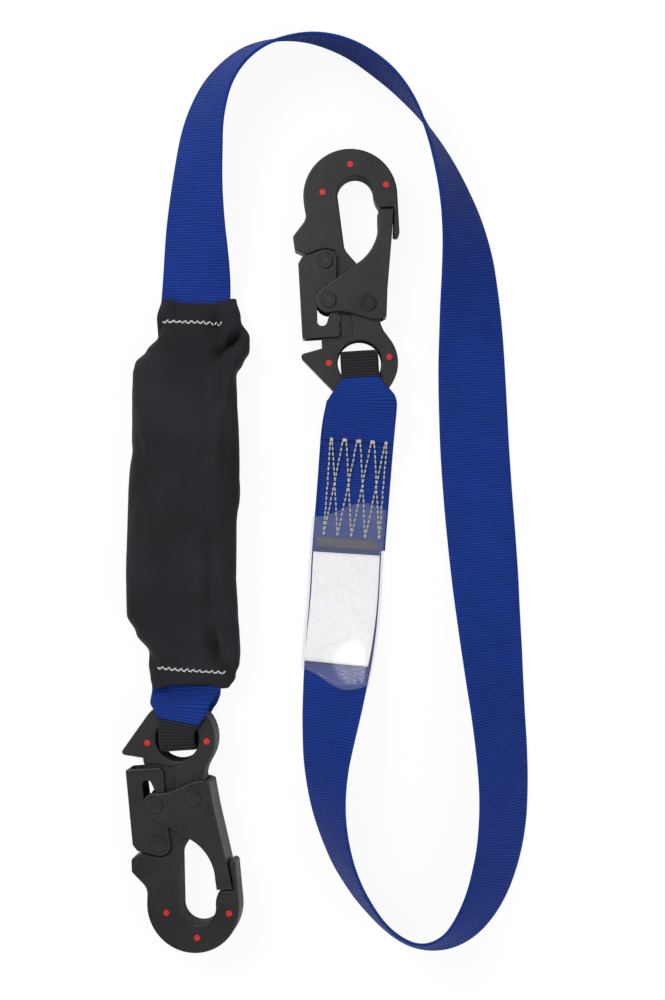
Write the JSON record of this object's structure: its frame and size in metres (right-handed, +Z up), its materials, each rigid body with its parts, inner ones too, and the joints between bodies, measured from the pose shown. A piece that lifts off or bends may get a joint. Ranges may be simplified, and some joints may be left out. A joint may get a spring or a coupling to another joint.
{
  "type": "shock absorbing lanyard",
  "caption": "Webbing fall-arrest lanyard with a sewn tear-out energy absorber pack and self-locking snap hooks at its ends, laid out in a loose loop.",
  "frame": {"origin": "on the underside of the absorber pack, at its middle", "axes": "+Z up from the table; +Y along the pack, from the harness hook to the strap; +X towards the other hook and the strap's loop"},
  "size_m": [0.2614, 0.5924, 0.0456],
  "materials": {
    "pack_fabric": "matte",
    "tear_webbing": "matte",
    "backup_webbing": "matte",
    "blue_webbing": "matte",
    "white_card": "matte",
    "clear_pocket": "clear, glossy",
    "hook_steel": "matte black coat",
    "hook_nylon": "matte black",
    "gate_steel": "satin black coat",
    "lever_steel": "satin black coat",
    "rivet_steel": "satin black",
    "spring_steel": "bright",
    "red_plug": "semi gloss",
    "black_sleeve": "matte"
  },
  "bodies": {
    "lanyard": {"pack_cover": "pack_fabric", "tear_web": "tear_webbing", "backup_web": "backup_webbing", "main_strap": "blue_webbing", "strap_tail": "blue_webbing", "label_card": "white_card", "label_pocket": "clear_pocket"},
    "hook_1": {"hook_1_body": "hook_steel", "hook_1_bow_jacket": "hook_nylon", "hook_1_plugs": "red_plug", "hook_1_gate_rivet": "rivet_steel", "hook_1_lever_rivet": "rivet_steel", "hook_1_gate_spring": "spring_steel", "hook_1_lever_spring": "spring_steel", "hook_1_wear_sleeve": "black_sleeve", "hook_1_loop": "blue_webbing"},
    "hook_1_gate": {"hook_1_gate": "gate_steel", "hook_1_lock_pin": "rivet_steel"},
    "hook_1_lever": {"hook_1_lever": "lever_steel"},
    "hook_2": {"hook_2_body": "hook_steel", "hook_2_bow_jacket": "hook_nylon", "hook_2_plugs": "red_plug", "hook_2_gate_rivet": "rivet_steel", "hook_2_lever_rivet": "rivet_steel", "hook_2_gate_spring": "spring_steel", "hook_2_lever_spring": "spring_steel", "hook_2_wear_sleeve": "black_sleeve", "hook_2_loop": "blue_webbing"},
    "hook_2_gate": {"hook_2_gate": "gate_steel", "hook_2_lock_pin": "rivet_steel"},
    "hook_2_lever": {"hook_2_lever": "lever_steel"}
  },
  "joints": [
    {"name": "hook_1_swing", "type": "hinge", "parent": "lanyard", "child": "hook_1", "pos_m": [-0.00493, -0.12503, 0.0147], "axis": [0.9859, 0.0932, 0.1392], "range_deg": [-60, 60], "deforming": ["hook_1_loop"]},
    {"name": "hook_1_gate_open", "type": "hinge", "parent": "hook_1", "child": "hook_1_gate", "pos_m": [0.00879, -0.19023, 0.01576], "axis": [0.1386, 0.0131, -0.9903], "range_deg": [0, 30], "stiffness_Nm_per_rad": 0.5, "springref_deg": -28.65, "deforming": ["hook_1_gate_spring"]},
    {"name": "hook_1_lever_press", "type": "hinge", "parent": "hook_1", "child": "hook_1_lever", "pos_m": [-0.01403, -0.22131, 0.01215], "axis": [0.1386, 0.0131, -0.9903], "range_deg": [0, 9.5], "stiffness_Nm_per_rad": 0.4, "springref_deg": -22.92, "deforming": ["hook_1_lever_spring"]},
    {"name": "hook_2_swing", "type": "hinge", "parent": "lanyard", "child": "hook_2", "pos_m": [0.11432, 0.05625, 0.0117], "axis": [0.9984, 0.0558, 0], "range_deg": [-60, 60], "deforming": ["hook_2_loop"]},
    {"name": "hook_2_gate_open", "type": "hinge", "parent": "hook_2", "child": "hook_2_gate", "pos_m": [0.11821, 0.12277, 0.0117], "axis": [0, 0, 1], "range_deg": [0, 30], "stiffness_Nm_per_rad": 0.5, "springref_deg": -28.65, "deforming": ["hook_2_gate_spring"]},
    {"name": "hook_2_lever_press", "type": "hinge", "parent": "hook_2", "child": "hook_2_lever", "pos_m": [0.09074, 0.15008, 0.0117], "axis": [0, 0, 1], "range_deg": [0, 9.5], "stiffness_Nm_per_rad": 0.4, "springref_deg": -22.92, "deforming": ["hook_2_lever_spring"]}
  ],
  "couplings": [
    {"joint": "hook_1_lever_press", "follows": "hook_1_gate_open", "ratio": 0.3166},
    {"joint": "hook_2_lever_press", "follows": "hook_2_gate_open", "ratio": 0.3166}
  ]
}
